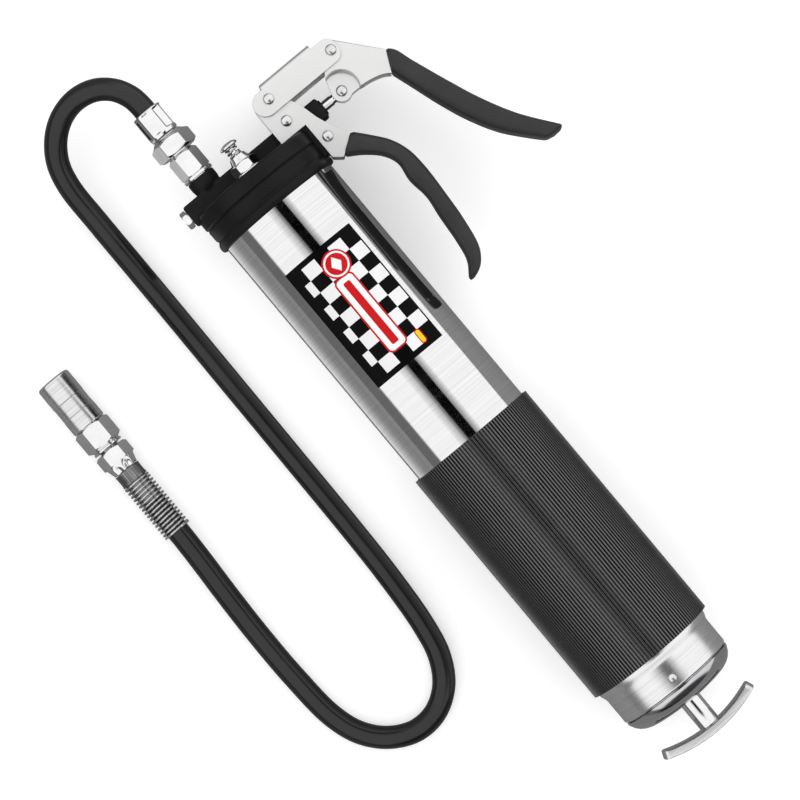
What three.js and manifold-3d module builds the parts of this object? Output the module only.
// A one-hand grease gun with a whip hose and a grease coupler, in millimetres.
// The gun lies on its side: +Y runs along the barrel from the T-handle to the head,
// +X points to the lever, +Z is up, and the lever linkage works in the level plane.
// Every piece is modelled in the gun's frame, whose Y axis is the barrel's axis.
import * as THREE from "three";
import { mergeVertices } from "three/addons/utils/BufferGeometryUtils.js";
import Module from "manifold-3d";

const wasm = await Module();
wasm.setup();

// ---- Driving dimensions ------------------------------------------------------------------

const GAP = 0.3; // air left between two pieces that touch on the real gun
const ROUND = 36; // facets of the barrel and of all that is concentric with it

const BARREL_R = 28.5; // 2 1/4 in tube for a 400 g cartridge
const BARREL_WALL = 1.4;
const BARREL_FOOT = -76.2; // where the tube is swaged on to the end cap
const BARREL_RIM = 195;
const SWAGE_TOP = -60;
const SWAGE_R = 27.35;
const SLEEVE_R = 30.45; // ribbed rubber sleeve
const SLEEVE_FOOT = -59.4;
const SLEEVE_TOP = 60;

const CAP_R = 30.3; // head casting's round cap
const CAP_FOOT = 186.5;
const CAP_TOP = 205.2;
const CAP_FLOOR = 200.5; // top of the grease space inside the cap

const PUMP_Y = 207.3; // height of the pump bore above the frame's origin
const PUMP_LEFT = -31.8;
const PUMP_RIGHT = 41.3;
const PUMP_HALF_Z = 5.2;
const PLUNGER_R = 2.25;
const BORE_R = 2.6;
const CHECK_R = 3.8;
const CHECK_SEAT_X = -12;
const INLET_X = -5.5; // grease port from the cap, uncovered by the plunger at rest
const INLET_R = 1.8;
const PLUNGER_TIP_X = -3.4;
const LUG_HALF_Z = 8.1; // casting lugs between the bracket's plates

const OUTLET_X = -17.45;
const OUTLET_BOSS_R = 6.65;
const OUTLET_BOSS_TOP = 218.3;
const FERRULE_TOP = 254;

const BLEEDER_Z = 12;

const PLATE = 1.6; // sheet thickness of bracket, link and lever
const BRACKET_Z = 10; // outer faces of the bracket's and the lever's plates
const LINK_Z = 12; // outer faces of the link's plates
const LOBE_Z = 5.4; // outer faces of the lever's joggled lobes
const GRIP_Z = 11.8; // outer faces of the rubber grips
const PIN_R = 1.6;
const PIN_HEAD_R = 2.45;
const OPEN_PIVOT_GAP = 0.55; // slack round the link's lever pin, where the loop is opened

const LINK_PIVOT = [25.9, 224]; // link to bracket
const LEVER_LINK = [59.3, 223.1]; // link to lever
const LEVER_PLUNGER = [52, PUMP_Y]; // lever to plunger
const UPPER_RIVET = [25.8, 212.2];
const LOWER_RIVET = [35.1, 196.1];
const LOBE_R = 4.5;
const JOGGLE_R = 8;

const ROD_R = 4.85;
const FOLLOWER_TOP = 190;
const T_RADIUS = 66.2; // outer radius of the bent strap
const T_FOOT = -103.2;
const T_HALF_Z = 6.5;

const HOSE_R = 5.05;
const HOSE_END_X = -122.5; // axis of the coupler, which lies beside the barrel
const COUPLER_R = 7.95;

// ---- Solids --------------------------------------------------------------------------------

// A closed geometry as a manifold solid with its faces outwards.
function solid(geometry) {
  const bare = geometry.index ? geometry.toNonIndexed() : geometry.clone();
  bare.deleteAttribute("normal");
  bare.deleteAttribute("uv");
  const merged = mergeVertices(bare, 1e-4);
  const corners = merged.index.array;
  const outward = [];
  const inward = [];
  for (let i = 0; i < corners.length; i += 3) {
    const [a, b, c] = corners.slice(i, i + 3);
    if (a === b || b === c || c === a) continue;
    outward.push(a, b, c);
    inward.push(a, c, b);
  }
  const vertProperties = merged.attributes.position.array;
  const build = (list) =>
    new wasm.Manifold(
      new wasm.Mesh({ numProp: 3, vertProperties, triVerts: new Uint32Array(list) }),
    );
  const made = build(outward);
  return made.volume() > 0 ? made : build(inward);
}

const asSolid = (shape) => (shape.isBufferGeometry ? solid(shape) : shape);
const join = (...shapes) => shapes.map(asSolid).reduce((sum, next) => sum.add(next));
const cut = (body, ...tools) => asSolid(body).subtract(join(...tools));
const common = (one, other) => asSolid(one).intersect(asSolid(other));

function geometryOf(shape) {
  const { vertProperties, triVerts } = asSolid(shape).getMesh();
  const geometry = new THREE.BufferGeometry();
  geometry.setAttribute("position", new THREE.BufferAttribute(vertProperties.slice(), 3));
  geometry.setIndex(new THREE.BufferAttribute(triVerts.slice(), 1));
  const faceted = geometry.toNonIndexed();
  faceted.computeVertexNormals();
  return faceted;
}

// A round or many-sided bar along one axis, with a flat side towards +Z or +X.
function bar(axis, radius, from, to, sides = 24) {
  const turn = Math.PI / sides;
  const made = new THREE.CylinderGeometry(radius, radius, to - from, sides, 1, false, turn);
  made.translate(0, (from + to) / 2, 0);
  if (axis === "x") made.rotateZ(-Math.PI / 2);
  if (axis === "z") made.rotateX(Math.PI / 2);
  return made;
}

// A profile of [radius, height] pairs turned about the Y axis.
function turned(profile, sides = ROUND) {
  const points = profile.map(([radius, y]) => new THREE.Vector2(radius, y));
  return new THREE.LatheGeometry(points, sides, Math.PI / sides);
}

const ring = (inner, outer, from, to, sides = 24) =>
  turned([[inner, from], [outer, from], [outer, to], [inner, to], [inner, from]], sides);

// A hexagon bar along Y, its corners chamfered at either end as on a turned nut.
function hexNut(acrossCorners, from, to, footChamfer, topChamfer) {
  const corner = acrossCorners / 2;
  const flat = corner * Math.cos(Math.PI / 6);
  const blank = turned(
    [
      [0, from],
      [corner - footChamfer * (corner - flat), from],
      [corner, from + footChamfer],
      [corner, to - topChamfer],
      [corner - topChamfer * (corner - flat), to],
      [0, to],
    ],
    24,
  );
  return common(bar("y", corner, from, to, 6), blank);
}

const flatShape = (points) => new THREE.Shape(points.map(([x, y]) => new THREE.Vector2(x, y)));

// An outline in the level plane given thickness from z = from to z = to.
function plate(shape, from, to) {
  const options = { depth: to - from, bevelEnabled: false, curveSegments: 4 };
  return new THREE.ExtrudeGeometry(shape, options).translate(0, 0, from);
}

// The same outline twice, on both sides of the level plane.
const plates = (shape, inner, outer) =>
  join(plate(shape, inner, outer), plate(shape, -outer, -inner));

// An outline across X, given as [z, y], drawn out from x = from to x = to.
const alongX = (shape, from, to) => plate(shape, from, to).rotateY(Math.PI / 2);

const hole = ([x, y], radius, sides = 12) =>
  bar("z", radius, -LINK_Z - 5, LINK_Z + 5, sides).translate(x, y, 0);

// Points of a curve through the given ones.
const through = (points, count) =>
  new THREE.SplineCurve(points.map(([x, y]) => new THREE.Vector2(x, y))).getSpacedPoints(count);

// An outline between two edges, each a smooth curve through its points.
const between = (left, right, count = 22) =>
  new THREE.Shape([...through(left, count), ...through(right, count).reverse()]);

// A strip that follows a curve, from offset a to offset b on its left-hand side.
function strip(points, a, b, count = 12) {
  const curve = new THREE.SplineCurve(points.map(([x, y]) => new THREE.Vector2(x, y)));
  const edge = (offset) => {
    const line = [];
    for (let i = 0; i <= count; i += 1) {
      const along = curve.getTangentAt(i / count);
      const at = curve.getPointAt(i / count);
      line.push(new THREE.Vector2(at.x - along.y * offset, at.y + along.x * offset));
    }
    return line;
  };
  return new THREE.Shape([...edge(a), ...edge(b).reverse()]);
}

function section(radius, sides) {
  const corner = (i) => (2 * Math.PI * i) / sides;
  const points = Array.from({ length: sides }, (_, i) => [
    radius * Math.cos(corner(i)),
    radius * Math.sin(corner(i)),
  ]);
  return flatShape(points);
}

const sweep = (path, radius, sides, steps) =>
  new THREE.ExtrudeGeometry(section(radius, sides), { steps, extrudePath: path });

// A compression spring along Y.
class Coil extends THREE.Curve {
  constructor(radius, from, to, turns) {
    super();
    Object.assign(this, { radius, from, to, turns });
  }

  getPoint(t, target = new THREE.Vector3()) {
    const angle = 2 * Math.PI * this.turns * t;
    const y = this.from + (this.to - this.from) * t;
    return target.set(this.radius * Math.cos(angle), y, this.radius * Math.sin(angle));
  }
}

const spring = (radius, wire, from, to, turns, steps = 8, sides = 4) =>
  sweep(new Coil(radius, from + wire, to - wire, turns), wire, sides, turns * steps);

// A pin along Z with a domed head at both ends; reach is where the heads begin.
function pin(reach, shank = PIN_R, head = PIN_HEAD_R, height = 1.7) {
  const dome = [];
  for (const angle of [0, Math.PI / 4]) {
    dome.push([head * Math.cos(angle), reach + height * Math.sin(angle)]);
  }
  const upper = [[shank, reach], ...dome, [0, reach + height]];
  const lower = upper.map(([radius, y]) => [radius, -y]).reverse();
  return turned([...lower, ...upper], 12).rotateX(Math.PI / 2);
}

// ---- Materials -----------------------------------------------------------------------------

const finish = (color, roughness, metalness) =>
  new THREE.MeshStandardMaterial({ color, roughness, metalness });
const brushedSteel = finish(0xc9c9c9, 0.32, 1);
const polishedSteel = finish(0xdedede, 0.12, 1);
const nickelPlate = finish(0xe4e4e2, 0.4, 0.9);
const springSteel = finish(0x8d8d8d, 0.35, 1);
const blackCasting = finish(0x1b1b1b, 0.45, 0.2);
const blackRubber = finish(0x2a2a2a, 0.7, 0);
const gripVinyl = finish(0x303030, 0.5, 0);
const hoseRubber = finish(0x222222, 0.5, 0);
const sealRubber = finish(0x3a2a20, 0.7, 0);
const labelFilm = finish(0xf2f2f2, 0.35, 0);

// ---- Scene ---------------------------------------------------------------------------------

const gun = new THREE.Group();
const cord = new THREE.Group(); // the hose and what is on its far end
const grease = new THREE.Group();
grease.add(gun, cord);

function add(name, shape, material, parent = gun, [x, y, z] = [0, 0, 0]) {
  const mesh = new THREE.Mesh(geometryOf(shape), material);
  mesh.name = name;
  mesh.position.set(x, y, z);
  parent.add(mesh);
}

// ---- Head casting --------------------------------------------------------------------------

function headCasting() {
  const cap = turned([
    [0, CAP_FLOOR], [25.5, CAP_FLOOR], [25.5, 197.6], [28.8, 197.6], [28.8, CAP_FOOT],
    [29.3, CAP_FOOT], [CAP_R + 0.2, 187.6], [CAP_R + 0.2, 189.4], [29.9, 191.5],
    [29.8, 197.4], [CAP_R, 198], [CAP_R, 203], [28.6, CAP_TOP], [0, CAP_TOP],
  ]);
  const [low, high, edge] = [202.3, 212.4, 0.9];
  const halfZ = PUMP_HALF_Z;
  const barSection = flatShape([
    [-halfZ, low + edge], [-halfZ + edge, low], [halfZ - edge, low], [halfZ, low + edge],
    [halfZ, high - edge], [halfZ - edge, high], [-halfZ + edge, high], [-halfZ, high - edge],
  ]);
  const pumpBar = alongX(barSection, PUMP_LEFT, PUMP_RIGHT);
  const round = []; // the boss ends in a half ball sunk in the bar
  for (const angle of [0, 30, 60, 90]) {
    const turn = THREE.MathUtils.degToRad(angle);
    round.push([OUTLET_BOSS_R * Math.sin(turn), 215.2 - OUTLET_BOSS_R * Math.cos(turn)]);
  }
  const boss = turned([...round, [OUTLET_BOSS_R, OUTLET_BOSS_TOP], [0, OUTLET_BOSS_TOP]], 20);
  boss.translate(OUTLET_X, 0, 0);
  const upperLug = plate(
    flatShape([[19, 203], [31.5, 203], [33.5, 206], [31.5, 217], [29, 218.5], [19, 218.5]]),
    -LUG_HALF_Z,
    LUG_HALF_Z,
  );
  const lowerLug = plate(
    flatShape([[27.5, 190], [31.5, 190], [38.5, 194.5], [38, 199], [34.5, 202.5], [27.5, 202.5]]),
    -LUG_HALF_Z,
    LUG_HALF_Z,
  );
  const barrelSeat = bar("y", 28.8, CAP_FOOT - 10, 197.6, ROUND);
  const lugs = cut(join(upperLug, lowerLug), barrelSeat);
  return cut(
    join(cap, pumpBar, boss, lugs),
    bar("x", BORE_R, CHECK_SEAT_X - 1, PUMP_RIGHT + 1, 16).translate(0, PUMP_Y, 0),
    bar("x", CHECK_R, PUMP_LEFT - 1, CHECK_SEAT_X, 16).translate(0, PUMP_Y, 0),
    bar("x", CHECK_R, 34.8, 37.8, 16).translate(0, PUMP_Y, 0),
    bar("y", INLET_R, CAP_FLOOR - 1, PUMP_Y, 12).translate(INLET_X, 0, 0),
    bar("y", 2.2, PUMP_Y, OUTLET_BOSS_TOP, 12).translate(OUTLET_X, 0, 0),
    bar("y", 4.9, 212, OUTLET_BOSS_TOP + 1, 16).translate(OUTLET_X, 0, 0),
    bar("y", 4.7, CAP_FLOOR - 1, CAP_TOP + 1, 16).translate(0, 0, BLEEDER_Z),
    hole(UPPER_RIVET, PIN_R + GAP),
    hole(LOWER_RIVET, PIN_R + GAP),
  );
}

add("head_casting", headCasting(), blackCasting);
add("head_gasket", ring(24.5, 28.4, BARREL_RIM + GAP, 197.3, ROUND), sealRubber);

// ---- Pump: plunger, seal and check valve ------------------------------------------------------

const pumpAxis = (geometry) => geometry.rotateZ(-Math.PI / 2).translate(0, PUMP_Y, 0);

const plungerEye = cut(
  join(
    bar("x", PLUNGER_R, PLUNGER_TIP_X, LEVER_PLUNGER[0] - 2.5, 16).translate(0, PUMP_Y, 0),
    bar("z", 4.2, -3.5, 3.5, 20).translate(...LEVER_PLUNGER, 0),
  ),
  hole(LEVER_PLUNGER, PIN_R + GAP),
);
add("plunger", plungerEye, polishedSteel);
add("plunger_pin", pin(LOBE_Z + GAP), polishedSteel, gun, [...LEVER_PLUNGER, 0]);
add("plunger_seal", pumpAxis(ring(BORE_R, CHECK_R - GAP, 35.1, 37.5, 16)), sealRubber);
add("check_ball", new THREE.SphereGeometry(3, 14, 8), polishedSteel, gun, [-13.9, PUMP_Y, 0]);
add("check_spring", pumpAxis(spring(2.3, 0.4, -27, -17.2, 4)), springSteel);
const plug = join(
  bar("y", CHECK_R - GAP, -32.4, -27.4, 16),
  hexNut(8.6, -34.8, PUMP_LEFT - GAP, 0.6, 0.3),
);
add("check_valve_plug", geometryOf(plug).rotateZ(-Math.PI / 2).translate(0, PUMP_Y, 0), polishedSteel);

// ---- Outlet: adapter, hose nut and crimped ferrule --------------------------------------------

const outletAt = [OUTLET_X, 0, 0];
const passage = (from, to) => bar("y", 1.8, from, to, 12);
add("outlet_washer", ring(5, 7.1, 218.6, 220, 24), polishedSteel, gun, outletAt);
const adapter = cut(
  join(
    bar("y", 4.6, 212.3, 221, 16),
    hexNut(14.6, 220.3, 231.3, 0.6, 1.6),
    bar("y", 4.8, 231, 238, 16),
  ),
  passage(210, 240),
);
add("outlet_adapter", adapter, polishedSteel, gun, outletAt);
const hoseNut = cut(
  join(
    hexNut(19.7, 231.7, 239.5, 1, 1.4),
    turned([[0, 239], [8.3, 239.3], [6, 241], [0, 241]], 24),
  ),
  bar("y", 5.1, 230, 238.3, 16),
  passage(238, 242),
);
add("hose_nut", hoseNut, polishedSteel, gun, outletAt);
add("hose_ferrule", ring(1.8, 6.7, 241.3, FERRULE_TOP, 16), polishedSteel, gun, outletAt);

// ---- Air bleeder ------------------------------------------------------------------------------

const bleederAt = [0, 0, BLEEDER_Z];
const bleederBody = cut(
  join(
    bar("y", 4.4, 201.5, 206, 12),
    ring(1.7, 6.2, CAP_TOP + GAP, 206.4, 16),
    hexNut(13.1, 206.3, 211, 0.8, 1),
    turned([[0, 210.5], [4.9, 210.9], [3.7, 214.1], [0, 214.1]], 16),
  ),
  bar("y", 1.7, 200, 216, 12),
);
add("bleeder_body", bleederBody, polishedSteel, gun, bleederAt);
const bleederButton = turned(
  [
    [0, 203], [1.3, 203], [1.3, 219], [4.1, 219.2], [4.1, 219.7], [2.9, 220.7],
    [1.2, 221.1], [0, 221.1],
  ],
  20,
);
add("bleeder_button", bleederButton, polishedSteel, gun, bleederAt);
add("bleeder_spring", spring(2.5, 0.4, 214.4, 218.7, 3, 10), springSteel, gun, bleederAt);

// ---- Bracket with its fixed handle --------------------------------------------------------------

const handleSpine = [
  [36.5, 190.8], [39.8, 187.8], [45.5, 183], [51, 177], [54.2, 169], [54.9, 158], [54.2, 145],
  [53, 130], [51.2, 120.5], [47.2, 114],
];
const HANDLE_HALF = 2.3; // half the width of the sheet inside the grip

function bracketHandle() {
  const face = new THREE.Shape();
  face.moveTo(17.9, 205.7);
  face.lineTo(17.9, 222.5);
  face.quadraticCurveTo(18.2, 228, 24.5, 228);
  face.lineTo(29, 228);
  face.quadraticCurveTo(31.8, 224, 32.7, 217.8);
  face.lineTo(34.7, 213.3);
  face.lineTo(36.7, 205.3);
  face.lineTo(39.7, 198.4);
  face.lineTo(43.4, 191.1);
  face.lineTo(34.6, 184.9);
  face.lineTo(30.9, 187.9);
  face.lineTo(30.9, 205.7);
  const inner = BRACKET_Z - PLATE;
  const sheet = strip(handleSpine, -HANDLE_HALF, HANDLE_HALF);
  const web = join(
    plate(strip(handleSpine, -HANDLE_HALF, PLATE - HANDLE_HALF), -BRACKET_Z, BRACKET_Z),
    plate(
      flatShape([[30.9, 187.9], [34.6, 184.9], [37.8, 187.2], [36.7, 188.4], [34.7, 187], [32, 189.2]]),
      -BRACKET_Z,
      BRACKET_Z,
    ),
  );
  return cut(
    join(plates(face, inner, BRACKET_Z), plates(sheet, inner, BRACKET_Z), web),
    hole(LINK_PIVOT, PIN_R + GAP),
    hole(UPPER_RIVET, PIN_R + GAP),
    hole(LOWER_RIVET, PIN_R + GAP),
  );
}

function handleGrip() {
  const outer = [
    [44, 191.6], [50, 184.5], [54.8, 178], [57.9, 170], [58.8, 160], [58.1, 145], [57, 132],
    [54.4, 119], [50.5, 113.4], [46, 110.4],
  ];
  const inner = [
    [35.2, 185.4], [42, 181], [48, 175.2], [50.8, 169], [49.9, 160], [51, 150], [49.8, 140],
    [48.6, 127], [46.8, 118], [41.8, 110.8],
  ];
  const body = plate(between(outer, inner), -GRIP_Z, GRIP_Z);
  const slot = strip(handleSpine, -HANDLE_HALF - GAP, HANDLE_HALF + GAP);
  const mouth = flatShape([[33.9, 184], [45, 191.8], [40, 197], [30, 190]]);
  return cut(
    body,
    plate(slot, -BRACKET_Z - GAP, BRACKET_Z + GAP),
    plate(mouth, -GRIP_Z - 1, GRIP_Z + 1),
  );
}

add("bracket_handle", bracketHandle(), nickelPlate);
add("handle_grip", handleGrip(), gripVinyl);
add("bracket_rivet_upper", pin(BRACKET_Z + GAP), polishedSteel, gun, [...UPPER_RIVET, 0]);
add("bracket_rivet_lower", pin(BRACKET_Z + GAP), polishedSteel, gun, [...LOWER_RIVET, 0]);
add("link_pivot_pin", pin(LINK_Z + GAP), polishedSteel, gun, [...LINK_PIVOT, 0]);

// ---- Link ------------------------------------------------------------------------------------

function linkChannel() {
  const [left, right, foot, top] = [18, 62.7, 217.7, 228.8];
  const face = new THREE.Shape();
  face.moveTo(left + 5.5, foot);
  face.lineTo(right - 4.5, foot);
  face.absarc(right - 4.5, foot + 4.5, 4.5, -Math.PI / 2, 0);
  face.absarc(right - 4.5, top - 4.5, 4.5, 0, Math.PI / 2);
  face.lineTo(left + 5.5, top);
  face.absarc(left + 5.5, top - 5.5, 5.5, Math.PI / 2, (3 * Math.PI) / 2);
  const bend = 2.2;
  const back = top + bend;
  const channel = flatShape([
    [-LINK_Z, top - 1], [-LINK_Z + PLATE, top - 1], [-LINK_Z + PLATE, top + 0.2],
    [-LINK_Z + bend, back - PLATE], [LINK_Z - bend, back - PLATE], [LINK_Z - PLATE, top + 0.2],
    [LINK_Z - PLATE, top - 1], [LINK_Z, top - 1], [LINK_Z, top], [LINK_Z - bend * 0.3, back - 0.6],
    [LINK_Z - bend, back], [-LINK_Z + bend, back], [-LINK_Z + bend * 0.3, back - 0.6],
    [-LINK_Z, top],
  ]);
  return cut(
    join(plates(face, LINK_Z - PLATE, LINK_Z), alongX(channel, 26, 53)),
    hole(LINK_PIVOT, PIN_R + GAP),
    hole(LEVER_LINK, PIN_R + GAP),
  );
}

add("link_channel", linkChannel(), nickelPlate);
add("lever_link_pin", pin(LINK_Z + GAP), polishedSteel, gun, [...LEVER_LINK, 0]);

// ---- Lever -----------------------------------------------------------------------------------

const leverSpine = [
  [72.8, 210.2], [75.9, 203.5], [79.8, 190.5], [85, 176.5], [91.8, 162], [99.6, 149], [107.5, 139],
];
const LEVER_HALF = 2.6;

function leverChannel() {
  const face = new THREE.Shape();
  face.moveTo(50.1, 216);
  face.lineTo(54.6, 221.5);
  face.quadraticCurveTo(56, 227.4, 61.4, 227);
  face.lineTo(77.3, 208.5);
  face.lineTo(72.9, 199.3);
  face.lineTo(71.5, 200.4);
  face.lineTo(65.5, 202.8);
  face.lineTo(59.6, 203.6);
  face.lineTo(LEVER_PLUNGER[0] + 2.5, LEVER_PLUNGER[1] - 3.8);
  face.absarc(...LEVER_PLUNGER, LOBE_R, -0.95, Math.PI - 0.4, true);
  const inner = BRACKET_Z - PLATE;
  const lobeInner = LOBE_Z - PLATE + 0.1;
  const backEdge = [[60.9, 227.3], [62, 226.6], [77.3, 208.7], [75.6, 208.2], [60.6, 225.5]];
  const joggle = (radius) => hole(LEVER_PLUNGER, radius, 24);
  const outerPlates = cut(plates(face, inner, BRACKET_Z), joggle(JOGGLE_R));
  const lobes = common(plates(face, lobeInner, LOBE_Z), joggle(JOGGLE_R + PLATE));
  const wall = common(
    plates(face, lobeInner, BRACKET_Z),
    cut(joggle(JOGGLE_R + PLATE), joggle(JOGGLE_R)),
  );
  const sheet = strip(leverSpine, -LEVER_HALF, LEVER_HALF);
  const web = strip(leverSpine, LEVER_HALF - PLATE, LEVER_HALF);
  return cut(
    join(
      outerPlates,
      lobes,
      wall,
      plates(sheet, inner, BRACKET_Z),
      plate(web, -BRACKET_Z, BRACKET_Z),
      plate(flatShape(backEdge), -BRACKET_Z, BRACKET_Z),
    ),
    hole(LEVER_PLUNGER, PIN_R + GAP),
    hole(LEVER_LINK, PIN_R + OPEN_PIVOT_GAP),
  );
}

function leverGrip() {
  const outer = [
    [77.9, 209.3], [80.6, 206.3], [83.2, 198.6], [90, 180.3], [95, 168], [103, 152.6],
    [115.6, 135.3],
  ];
  const inner = [
    [73, 199.7], [76.5, 189], [80, 178], [85, 165], [92, 152], [100, 142], [106.5, 134.9],
  ];
  const body = plate(between(outer, inner), -GRIP_Z, GRIP_Z);
  const slot = strip(leverSpine, -LEVER_HALF - GAP, LEVER_HALF + GAP);
  const mouth = flatShape([[72.6, 198], [78.4, 210.1], [70, 214], [66, 203]]);
  return cut(
    body,
    plate(slot, -BRACKET_Z - GAP, BRACKET_Z + GAP),
    plate(mouth, -GRIP_Z - 1, GRIP_Z + 1),
  );
}

add("lever_channel", leverChannel(), nickelPlate);
add("lever_grip", leverGrip(), gripVinyl);

// ---- Barrel ----------------------------------------------------------------------------------

const tube = [
  [BARREL_R, BARREL_RIM], [BARREL_R, SWAGE_TOP], [BARREL_R - 0.5, SWAGE_TOP - 1],
  [SWAGE_R, BARREL_FOOT], [SWAGE_R - BARREL_WALL, BARREL_FOOT],
  [BARREL_R - 0.5 - BARREL_WALL, SWAGE_TOP - 1], [BARREL_R - BARREL_WALL, SWAGE_TOP],
  [BARREL_R - BARREL_WALL, BARREL_RIM], [BARREL_R, BARREL_RIM],
];
add("barrel_tube", turned(tube), brushedSteel);
add("barrel_sleeve", ring(BARREL_R + GAP, SLEEVE_R, SLEEVE_FOOT, SLEEVE_TOP, ROUND), blackRubber);
const endCap = [
  [ROD_R + GAP, -85.6], [10, -85.3], [18, -84.3], [23, -82], [27.2, -76.5], [25.6, -76.5],
  [25.6, -68], [24.2, -68], [24, -77.4], [17, -82.5], [ROD_R + GAP, -83.9],
  [ROD_R + GAP, -85.6],
];
add("end_cap", turned(endCap), polishedSteel);
add("rod_guide", ring(ROD_R + GAP, 9, -82.9, -76, 24), sealRubber);

// A film wrapped round the upper side of the tube.
function label() {
  const [first, last, steps] = [-0.62, 0.68, 10];
  const arc = (radius) => {
    const points = [];
    for (let step = 0; step <= steps; step += 1) {
      const angle = first + ((last - first) * step) / steps;
      points.push([radius * Math.sin(angle), radius * Math.cos(angle)]);
    }
    return points;
  };
  const film = flatShape([...arc(BARREL_R + 0.2), ...arc(BARREL_R + 0.4).reverse()]);
  return plate(film, -161.7, -100.4).rotateX(Math.PI / 2);
}

add("label", label(), labelFilm);

// ---- Follower, rod and T-handle ----------------------------------------------------------------

const cup = [
  [ROD_R + GAP, 176], [26.2, 176], [26.6, 178], [26.6, FOLLOWER_TOP], [24.8, FOLLOWER_TOP],
  [24.2, 180], [ROD_R + GAP, 180], [ROD_R + GAP, 176],
];
add("follower_cup", turned(cup), sealRubber);
add("follower_plate", ring(ROD_R + GAP, 18, 174.3, 175.7, 24), brushedSteel);
add("follower_spring", spring(13, 0.9, -72, 174, 16), springSteel);
const rod = join(
  bar("y", 3, T_FOOT + 0.2, -98, 16),
  bar("y", ROD_R, -99, 184, 20),
  bar("y", 3, 183, 196, 16),
);
add("follower_rod", rod, polishedSteel);
add("rod_nut", cut(hexNut(14, 184.3, 190, 0.6, 0.8), bar("y", 3.3, 180, 195, 16)), brushedSteel);

function tHandle() {
  const [thick, halfAngle] = [3.9, 0.383];
  const centre = T_FOOT + T_RADIUS;
  const strap = new THREE.Shape();
  strap.absarc(0, centre, T_RADIUS, -Math.PI / 2 - halfAngle, -Math.PI / 2 + halfAngle);
  strap.absarc(
    0, centre, T_RADIUS - thick, -Math.PI / 2 + halfAngle - 0.02,
    -Math.PI / 2 - halfAngle + 0.02, true,
  );
  const options = { depth: 2 * T_HALF_Z, bevelEnabled: false, curveSegments: 12 };
  const body = new THREE.ExtrudeGeometry(strap, options).translate(0, 0, -T_HALF_Z);
  return cut(body, bar("y", 3 + GAP, -106, -97, 16), bar("y", ROD_R + GAP, -99.3, -97, 20));
}

add("t_handle", tHandle(), polishedSteel);

// ---- Hose ------------------------------------------------------------------------------------

const floorZ = -(CAP_R + 0.2) * Math.cos(Math.PI / ROUND);
const laidZ = floorZ + HOSE_R;
const couplerZ = floorZ + COUPLER_R;

// Straight out of the ferrule, over in a bend while it sinks to the floor, back beside the
// barrel, round a U and up again to the coupler.
const hoseRoute = [
  [OUTLET_X, FERRULE_TOP + GAP, 0], [OUTLET_X, 257, 0], [-18.3, 263, -0.6], [-21.8, 270, -1.8],
  [-28.5, 275.6, -3.6], [-37.6, 277.8, -6.2], [-46.8, 276, -9], [-54.8, 270.6, -11.8],
  [-60.6, 262.4, -14.4], [-63.3, 252, -17], [-63.8, 232, -20.9], [-63.9, 208, -23.8],
  [-64, 180, laidZ], [-64.2, 140, laidZ], [-64.4, 100, laidZ], [-64.7, 60, laidZ],
  [-65.4, 35, laidZ], [-67.4, 10, laidZ], [-70.6, -4.5, laidZ], [-77.3, -15.6, laidZ],
  [-87.4, -22.2, laidZ], [-98.8, -23, laidZ], [-110, -17.6, laidZ], [-118.2, -8, laidZ],
  [-122.7, 5, laidZ], [-124.5, 28, laidZ], [-124.7, 52, laidZ], [-124, 74, laidZ + 0.6],
  [HOSE_END_X - 0.5, 92, couplerZ - 0.6], [HOSE_END_X, 106, couplerZ],
  [HOSE_END_X, 126.2, couplerZ],
];
const hosePath = new THREE.CatmullRomCurve3(hoseRoute.map((p) => new THREE.Vector3(...p)));
add("hose", sweep(hosePath, HOSE_R, 8, 52), hoseRubber, cord);

// ---- Coupler and the hose's far fitting ----------------------------------------------------------

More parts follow.
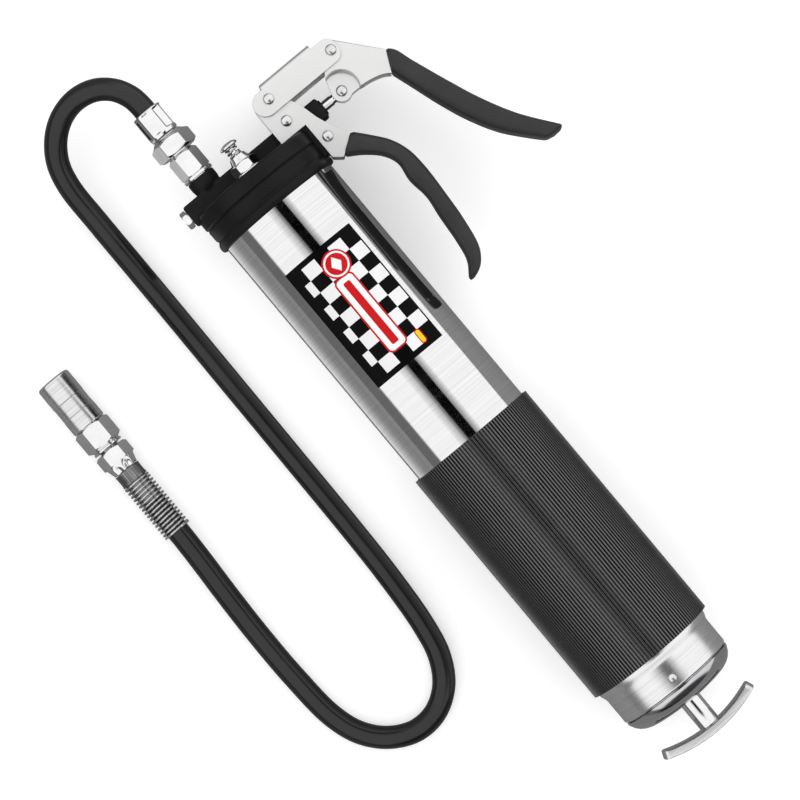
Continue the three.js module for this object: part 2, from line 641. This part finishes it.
const couplerAt = [HOSE_END_X, 0, couplerZ];
add("spring_guard", spring(6.05, 0.5, 109, 137, 16, 9), springSteel, cord, couplerAt);
const endFerrule = turned(
  [
    [1.8, 126.5], [5.1, 126.5], [5.1, 137.4], [6.25, 137.4], [6.25, 143.3], [1.8, 143.3],
    [1.8, 126.5],
  ],
  20,
);
add("hose_end_ferrule", endFerrule, brushedSteel, cord, couplerAt);
const endNut = cut(
  join(
    turned([[0, 143.6], [5.9, 143.6], [7.2, 148.4], [0, 148.4]], 16),
    hexNut(16.2, 147.9, 154.5, 0.4, 0.8),
    bar("y", 4.9, 154, 162, 16),
  ),
  passage(142, 164),
);
add("hose_end_nut", endNut, polishedSteel, cord, couplerAt);
const couplerBody = cut(
  join(
    bar("y", 7.1, 155.6, 157.8, 24),
    hexNut(17.5, 157.6, 168, 0.8, 1),
    bar("y", 6, 167.8, 177.6, 20),
  ),
  bar("y", 5.2, 150, 162.3, 16),
  passage(160, 180),
);
add("coupler_body", couplerBody, polishedSteel, cord, couplerAt);
const couplerSleeve = [
  [6.3, 168.3], [COUPLER_R, 168.3], [COUPLER_R, 192.6], [7.1, 193.5], [4.1, 193.5], [3.9, 192.5],
  [6.3, 189.8], [6.3, 168.3],
];
add("coupler_sleeve", turned(couplerSleeve, 24), polishedSteel, cord, couplerAt);
add("coupler_seal", ring(1.3, 5.7, 178, 180.7, 20), sealRubber, cord, couplerAt);

// One third of the gripping collet, its tip turned in behind the nipple's head.
function jaw(index) {
  const collet = turned(
    [[3.4, 181], [5.9, 181], [5.9, 188], [4.3, 190], [3.5, 189.6], [3.4, 181]],
    24,
  );
  const [start, end] = [index * 2 + 0.08, (index + 1) * 2 - 0.08].map((a) => (a * Math.PI) / 3);
  const wedge = new THREE.Shape();
  wedge.moveTo(0, 0);
  wedge.lineTo(12 * Math.cos(start), 12 * Math.sin(start));
  wedge.absarc(0, 0, 12, start, end);
  return common(collet, plate(wedge, -195, -175).rotateX(Math.PI / 2));
}

[0, 1, 2].forEach((index) => {
  add(`coupler_jaw_${index + 1}`, jaw(index), springSteel, cord, couplerAt);
});

// The frame's origin is under the middle of the gun, on the surface it lies on.
const box = new THREE.Box3().setFromObject(gun);
const middle = box.getCenter(new THREE.Vector3());
grease.position.set(-middle.x, -middle.y, -box.min.z);

export default grease;
